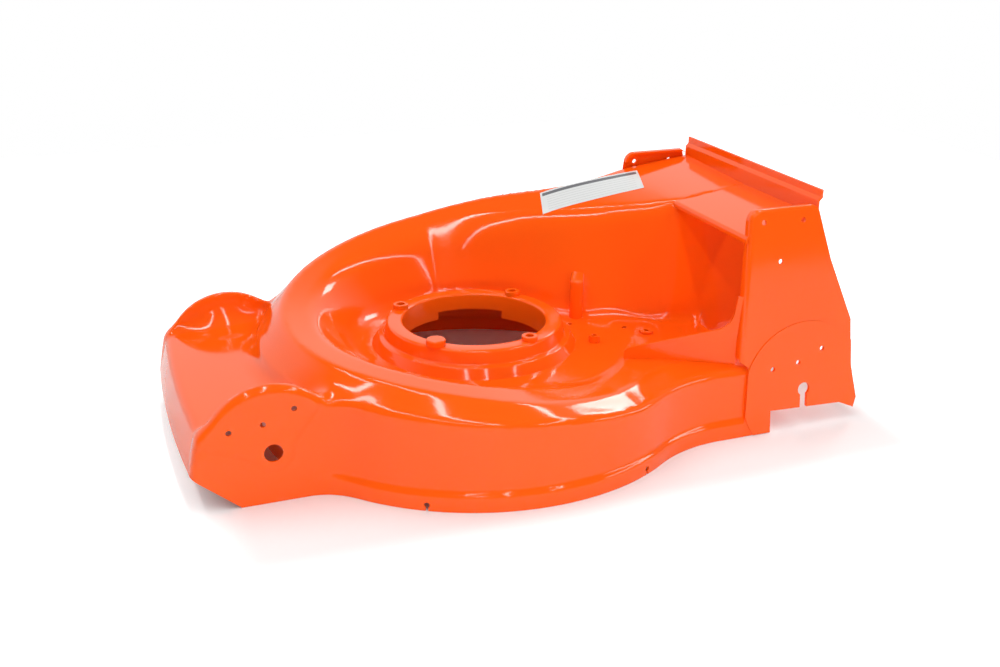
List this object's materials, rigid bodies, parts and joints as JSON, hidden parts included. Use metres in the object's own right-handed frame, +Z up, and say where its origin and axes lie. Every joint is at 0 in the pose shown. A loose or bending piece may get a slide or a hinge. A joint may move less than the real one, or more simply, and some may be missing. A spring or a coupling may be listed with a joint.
{
  "type": "lawn mower deck",
  "caption": "Pressed steel deck of a walk-behind lawn mower: round skirt with a rising volute and rear discharge tunnel, engine seat, front wheel brackets and rear side plates.",
  "frame": {"origin": "centre of the crank opening at the top face of the engine seat", "axes": "+X to the rear of the machine, +Y to its right, +Z up along the crank axis"},
  "size_m": [0.836, 0.554, 0.297],
  "materials": {
    "orange_paint": "gloss"
  },
  "bodies": {
    "root": {"deck_shell": "orange_paint", "front_apron": "orange_paint", "top_panel": "orange_paint", "side_plate_left": "orange_paint", "side_plate_right": "orange_paint", "flap_rail": "orange_paint", "belt_guard": "orange_paint", "engine_collars": "orange_paint", "engine_rest_pad": "orange_paint", "platform_bosses": "orange_paint"}
  },
  "joints": []
}
